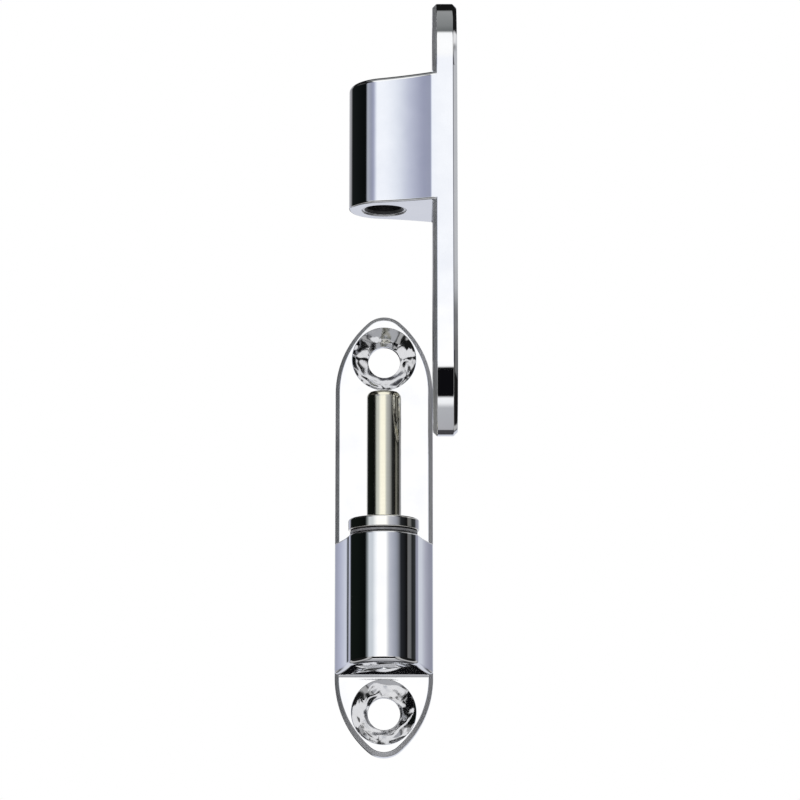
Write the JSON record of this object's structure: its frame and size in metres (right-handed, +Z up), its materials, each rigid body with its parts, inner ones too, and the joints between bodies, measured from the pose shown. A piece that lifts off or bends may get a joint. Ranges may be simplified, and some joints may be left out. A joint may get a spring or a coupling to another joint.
{
  "type": "lift-off hinge",
  "caption": "Lift-off hinge in two halves: a pointed leaf with a bare upright pin, and a pointed leaf with a socket barrel that drops onto the pin.",
  "frame": {"origin": "centre of the socket leaf's back face", "axes": "+Z up along the pin, from the pin half to the socket half; +X out of the socket leaf's back face; +Y out of the pin leaf's back face at rest"},
  "size_m": [0.0249, 0.0249, 0.155],
  "materials": {
    "socket_leaf_chrome": "polished chrome plate on a zinc die casting",
    "pin_leaf_chrome": "polished chrome plate on a zinc die casting",
    "pin_stainless": "turned and polished stainless steel",
    "ring_stainless": "turned and polished stainless steel",
    "washer_nylon": "plain dark nylon",
    "bush_steel": "satin steel shell with a dark low-friction lining in the bore"
  },
  "bodies": {
    "socket_half": {"socket_leaf": "socket_leaf_chrome"},
    "bush": {"socket_bush": "bush_steel"},
    "pin_half": {"pin_leaf": "pin_leaf_chrome", "hinge_pin": "pin_stainless", "thrust_ring": "ring_stainless", "ring_washer": "washer_nylon"}
  },
  "joints": [
    {"name": "swing", "type": "hinge", "parent": "socket_half", "child": "bush", "pos_m": [-0.01495, 0, 0.015], "axis": [0, 0, 1], "range_deg": [0, 180]},
    {"name": "lift_off", "type": "slide", "parent": "bush", "child": "pin_half", "axis": [0, 0, 1], "range_m": [0, 0.064]}
  ]
}
